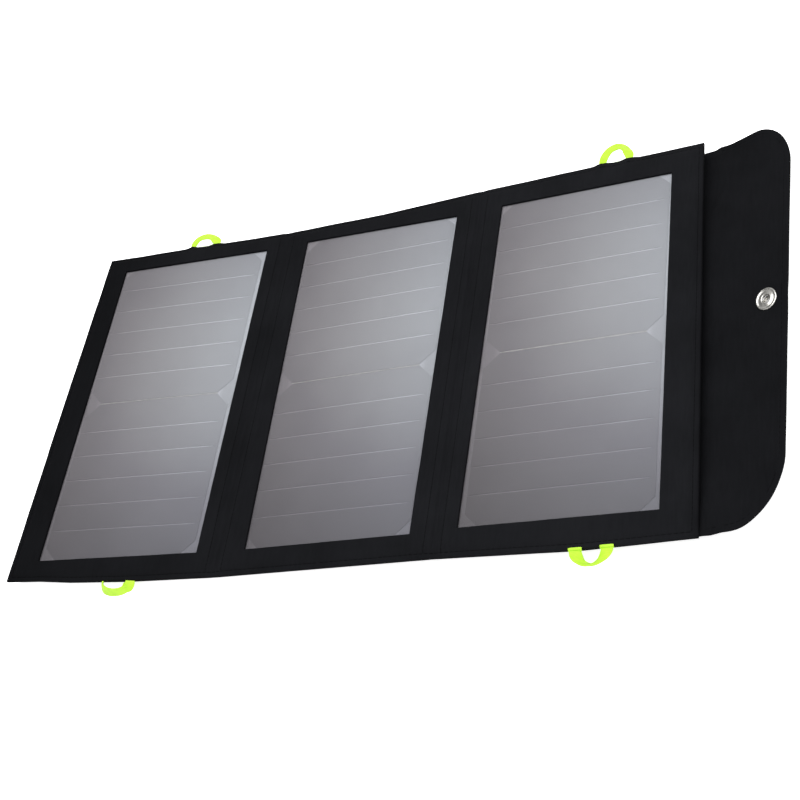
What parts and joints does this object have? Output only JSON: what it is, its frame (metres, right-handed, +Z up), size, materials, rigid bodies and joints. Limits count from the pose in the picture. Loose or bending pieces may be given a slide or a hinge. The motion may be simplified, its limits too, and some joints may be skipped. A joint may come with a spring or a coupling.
{
  "type": "folding solar panel charger",
  "caption": "Folding fabric-cased solar charger that opens flat, with framed cell panels, webbing hanging loops, a controller pocket and a snap-down closing flap.",
  "frame": {"origin": "centre of the open charger's footprint, on the surface it lies on", "axes": "+X from the left panel towards the closing flap, +Y towards the panels' top edges, +Z up, the way the cells face"},
  "size_m": [0.5584, 0.3384, 0.0199],
  "materials": {
    "case_fabric": "coated black polyester with a fine weave",
    "lining_fabric": "black polyester lining",
    "cover_film": "clear satin laminating film",
    "solar_cell": "anti-reflection coated silicon",
    "backsheet": "pale laminate",
    "stiffener": "matt board",
    "tinned_copper": "tinned copper ribbon",
    "webbing": "lime green woven webbing",
    "nickel": "polished nickel",
    "housing": "fine spark-eroded texture",
    "steel": "drawn sheet steel",
    "circuit": "green solder resist",
    "coil": "ferrite",
    "lead": "matt cable jacket",
    "lens": "moulded diffuser"
  },
  "bodies": {
    "middle_panel": {"middle_back_cover": "lining_fabric", "middle_stiffener": "stiffener", "middle_backsheet": "backsheet", "middle_cells_upper": "solar_cell", "middle_cells_lower": "solar_cell", "middle_bus_ribbon": "tinned_copper", "middle_cover_film": "cover_film", "middle_front_frame": "case_fabric", "snap_stud": "nickel", "stud_backing": "nickel", "hinge_left_back_strip": "case_fabric", "hinge_left_lead": "tinned_copper", "hinge_left_front_strip": "case_fabric", "hinge_right_back_strip": "case_fabric", "hinge_right_lead": "tinned_copper", "hinge_right_front_strip": "case_fabric"},
    "left_panel": {"left_back_cover": "lining_fabric", "left_stiffener": "stiffener", "left_backsheet": "backsheet", "left_cells_upper": "solar_cell", "left_cells_lower": "solar_cell", "left_bus_ribbon": "tinned_copper", "left_cover_film": "cover_film", "left_front_frame": "case_fabric"},
    "right_panel": {"right_back_cover": "lining_fabric", "right_stiffener": "stiffener", "right_backsheet": "backsheet", "right_cells_upper": "solar_cell", "right_cells_lower": "solar_cell", "right_bus_ribbon": "tinned_copper", "right_cover_film": "cover_film", "right_front_frame": "case_fabric", "pocket_sheet": "case_fabric", "controller_lid": "housing", "controller_base": "housing", "controller_screw_1": "steel", "controller_screw_2": "steel", "controller_circuit": "circuit", "controller_coil": "coil", "usb_socket_1": "steel", "usb_socket_2": "steel", "status_lens": "lens", "controller_lead": "lead"},
    "spine": {"flap_spine": "case_fabric"},
    "flap": {"flap_outer": "case_fabric", "flap_lining": "lining_fabric", "snap_socket": "nickel", "snap_cap": "nickel"},
    "loop_left_top": {"loop_left_top": "webbing"},
    "loop_left_bottom": {"loop_left_bottom": "webbing"},
    "loop_right_top": {"loop_right_top": "webbing"},
    "loop_right_bottom": {"loop_right_bottom": "webbing"}
  },
  "joints": [
    {"name": "fold_left", "type": "hinge", "parent": "middle_panel", "child": "left_panel", "pos_m": [-0.11215, 0.00025, 0.00721], "axis": [0, 1, 0], "range_deg": [-75, 175.8]},
    {"name": "fold_right", "type": "hinge", "parent": "middle_panel", "child": "right_panel", "pos_m": [0.05244, 0.00025, 0.01497], "axis": [0, -1, 0], "range_deg": [-75, 179.8]},
    {"name": "spine_fold", "type": "hinge", "parent": "right_panel", "child": "spine", "pos_m": [0.22504, 0.00025, 0.00708], "axis": [0, -1, 0], "range_deg": [-70, 84]},
    {"name": "flap_fold", "type": "hinge", "parent": "spine", "child": "flap", "pos_m": [0.24842, 0.00025, 0.01031], "axis": [0, -1, 0], "range_deg": [-80, 81.5]},
    {"name": "loop_left_top_swing", "type": "hinge", "parent": "left_panel", "child": "loop_left_top", "pos_m": [-0.18818, 0.14715, 0.00791], "axis": [0.9992, 0, -0.0407], "range_deg": [-70, 50], "stiffness_Nm_per_rad": 0.0001},
    {"name": "loop_left_bottom_swing", "type": "hinge", "parent": "left_panel", "child": "loop_left_bottom", "pos_m": [-0.18918, -0.15265, 0.00795], "axis": [-0.9992, 0, 0.0407], "range_deg": [-70, 50], "stiffness_Nm_per_rad": 0.0001},
    {"name": "loop_right_top_swing", "type": "hinge", "parent": "right_panel", "child": "loop_right_top", "pos_m": [0.15729, 0.15315, 0.01358], "axis": [-0.9995, 0, -0.0326], "range_deg": [-70, 70], "stiffness_Nm_per_rad": 0.0001},
    {"name": "loop_right_bottom_swing", "type": "hinge", "parent": "right_panel", "child": "loop_right_bottom", "pos_m": [0.15929, -0.15665, 0.01365], "axis": [0.9995, 0, 0.0326], "range_deg": [-70, 70], "stiffness_Nm_per_rad": 0.0001}
  ]
}
